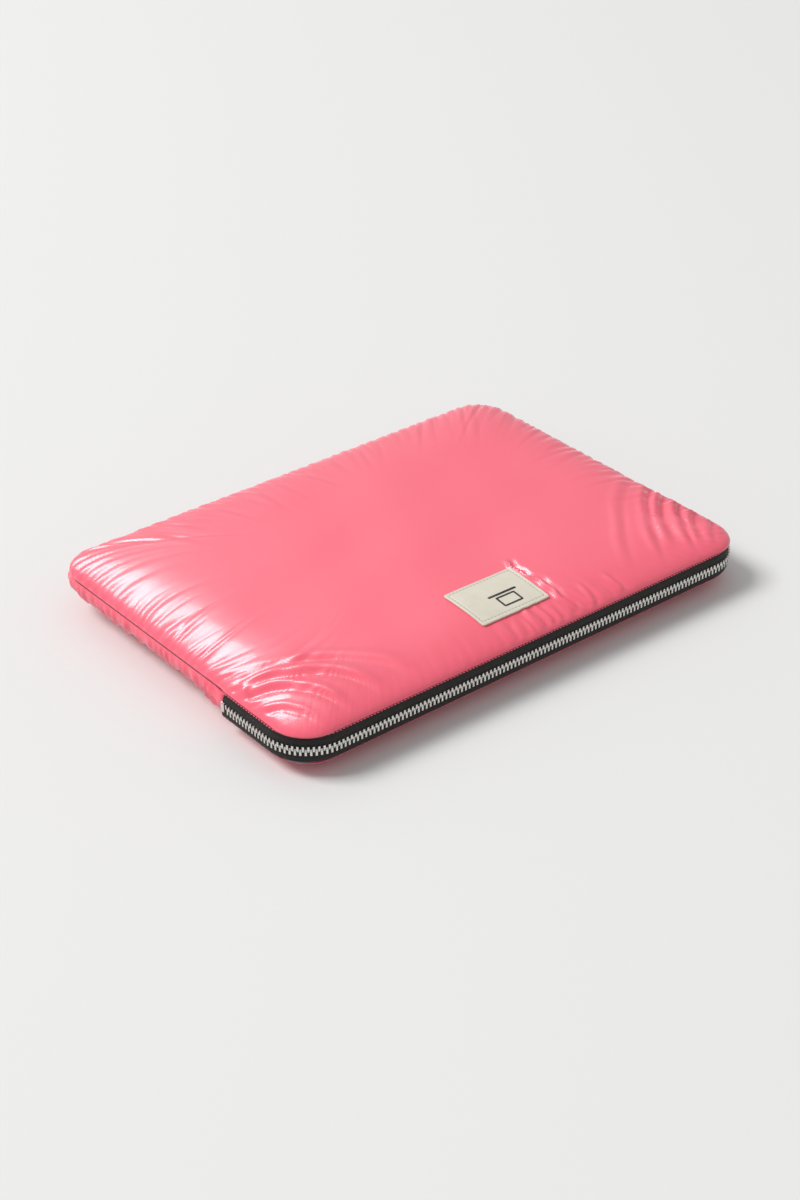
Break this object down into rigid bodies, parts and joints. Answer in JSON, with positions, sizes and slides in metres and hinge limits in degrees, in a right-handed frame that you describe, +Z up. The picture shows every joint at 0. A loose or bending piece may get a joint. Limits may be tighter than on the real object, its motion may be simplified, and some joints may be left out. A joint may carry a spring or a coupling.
{
  "type": "laptop sleeve",
  "caption": "Padded quilted laptop sleeve with a metal zip round its front and a stitched leather label on top.",
  "frame": {"origin": "middle of the sleeve in plan, on the surface that it lies on", "axes": "+X along the long side, -Y towards the zipped front edge, +Z up through the thickness"},
  "size_m": [0.356, 0.2521, 0.0403],
  "materials": {
    "shell_fabric": "glossy coated ripstop",
    "lining_fabric": "plain matt weave",
    "wadding": "soft polyester fill",
    "binding": "woven bias tape",
    "zip_tape": "ribbed woven tape",
    "zip_metal": "bright nickel",
    "label_leather": "smooth cream leather",
    "thread": "waxed thread"
  },
  "bodies": {
    "base": {"bottom_panel": "shell_fabric", "bottom_wadding": "wadding", "bottom_lining": "lining_fabric", "top_panel_rear": "shell_fabric", "top_wadding_rear": "wadding", "top_lining_rear": "lining_fabric", "rear_seam_binding": "binding", "lower_mouth_binding": "binding", "lower_zip_tape": "zip_tape", "lower_zip_teeth": "zip_metal", "bottom_stop": "zip_metal", "lower_top_stop": "zip_metal"},
    "upper_flap": {"top_panel_front": "shell_fabric", "top_wadding_front": "wadding", "top_lining_front": "lining_fabric", "upper_mouth_binding": "binding", "upper_zip_tape": "zip_tape", "upper_zip_teeth": "zip_metal", "upper_top_stop": "zip_metal", "label_patch": "label_leather", "label_stitching": "thread"},
    "slider": {"slider_body": "zip_metal", "slider_bridge": "zip_metal"},
    "puller": {"pull_tab": "zip_metal"}
  },
  "joints": [
    {"name": "flap_open", "type": "hinge", "parent": "base", "child": "upper_flap", "pos_m": [0, -0.054, 0.019], "axis": [-1, 0, 0], "range_deg": [0, 30]},
    {"name": "slider_travel", "type": "slide", "parent": "base", "child": "slider", "axis": [0, -1, 0], "range_m": [0, 0.0265], "deforming": ["upper_zip_teeth", "lower_zip_teeth"]},
    {"name": "puller_swing", "type": "hinge", "parent": "slider", "child": "puller", "pos_m": [0.17835, -0.0643, 0.019], "axis": [0, 0, 1], "range_deg": [0, 180]}
  ]
}
